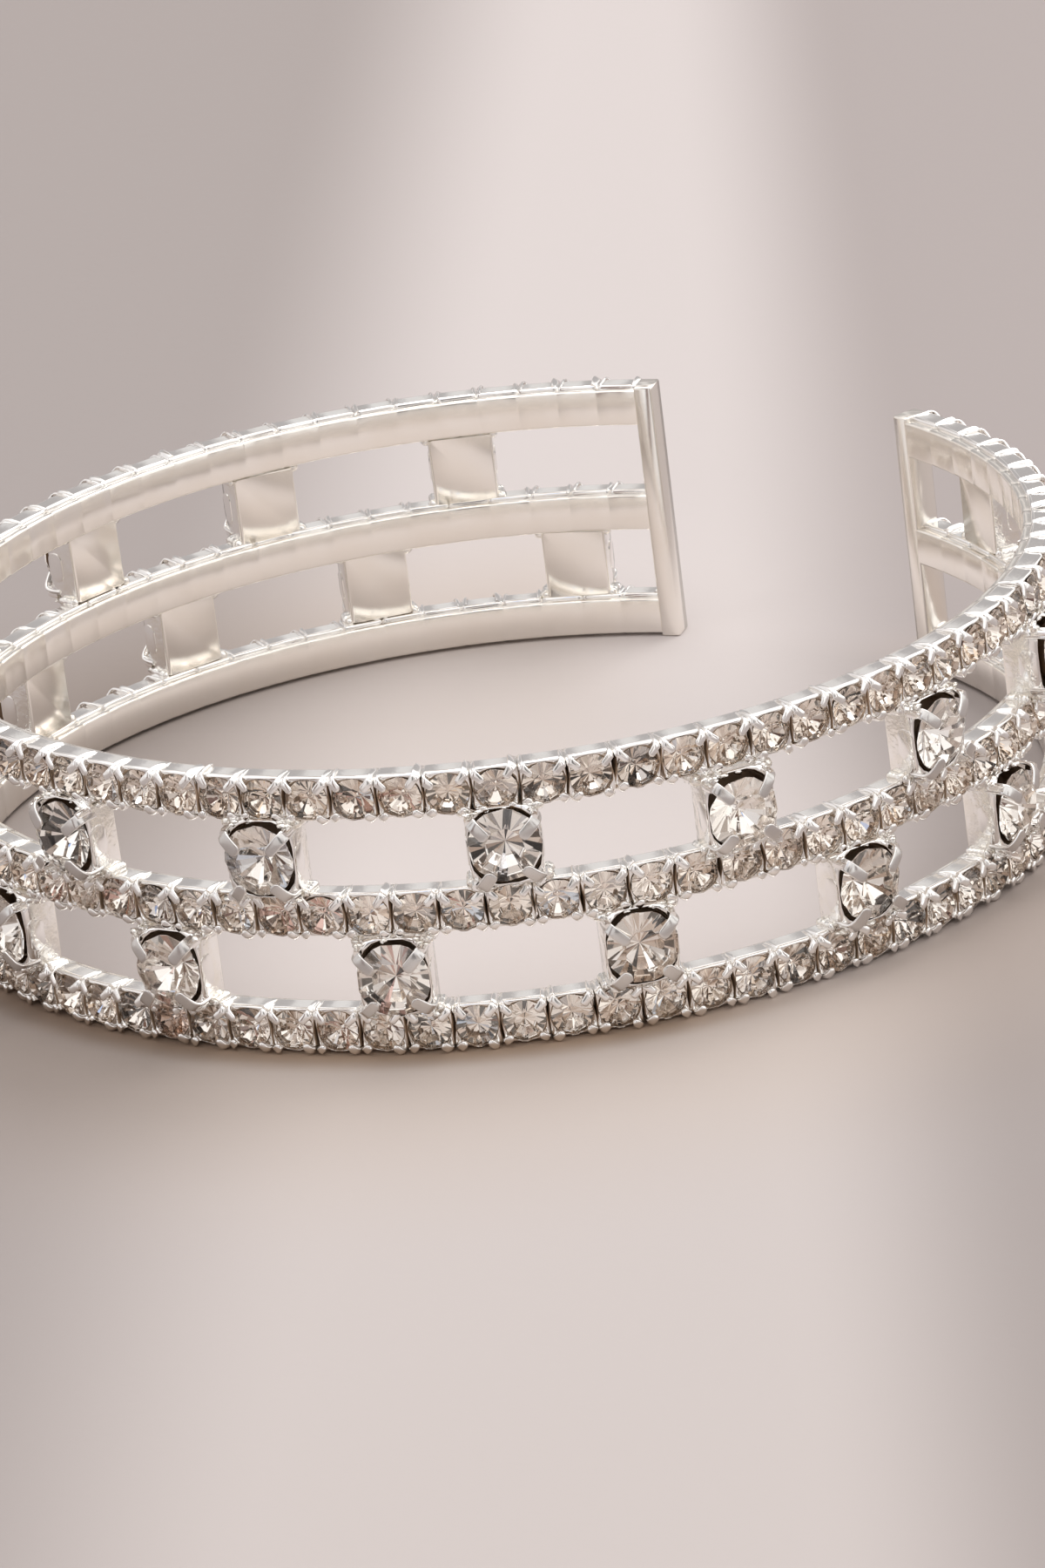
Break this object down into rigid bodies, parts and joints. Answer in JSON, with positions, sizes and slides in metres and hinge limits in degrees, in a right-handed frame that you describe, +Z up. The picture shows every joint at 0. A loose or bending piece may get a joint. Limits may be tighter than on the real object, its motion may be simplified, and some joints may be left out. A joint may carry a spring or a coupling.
{
  "type": "rhinestone bracelet",
  "caption": "Open cuff bracelet in silver-coloured metal: rows of small claw-set clear stones with larger staggered stones between them and a plain bar at each end.",
  "frame": {"origin": "middle of the footprint, on the surface that the cuff stands on", "axes": "+Z up along the wrist hole's axis, +Y towards the opening, +X across the cuff's widest way"},
  "size_m": [0.0656, 0.0618, 0.0149],
  "materials": {
    "silver_plate": "bright silver plating, polished, with small solder seams",
    "crystal": "clear faceted glass with a silvered back"
  },
  "bodies": {
    "root": {"cuff_frame": "silver_plate", "upper_stone_01": "crystal", "upper_stone_02": "crystal", "upper_stone_03": "crystal", "upper_stone_04": "crystal", "upper_stone_05": "crystal", "upper_stone_06": "crystal", "upper_stone_07": "crystal", "upper_stone_08": "crystal", "upper_stone_09": "crystal", "upper_stone_10": "crystal", "upper_stone_11": "crystal", "upper_stone_12": "crystal", "upper_stone_13": "crystal", "upper_stone_14": "crystal", "lower_stone_01": "crystal", "lower_stone_02": "crystal", "lower_stone_03": "crystal", "lower_stone_04": "crystal", "lower_stone_05": "crystal", "lower_stone_06": "crystal", "lower_stone_07": "crystal", "lower_stone_08": "crystal", "lower_stone_09": "crystal", "lower_stone_10": "crystal", "lower_stone_11": "crystal", "lower_stone_12": "crystal", "lower_stone_13": "crystal", "lower_stone_14": "crystal"}
  },
  "joints": []
}
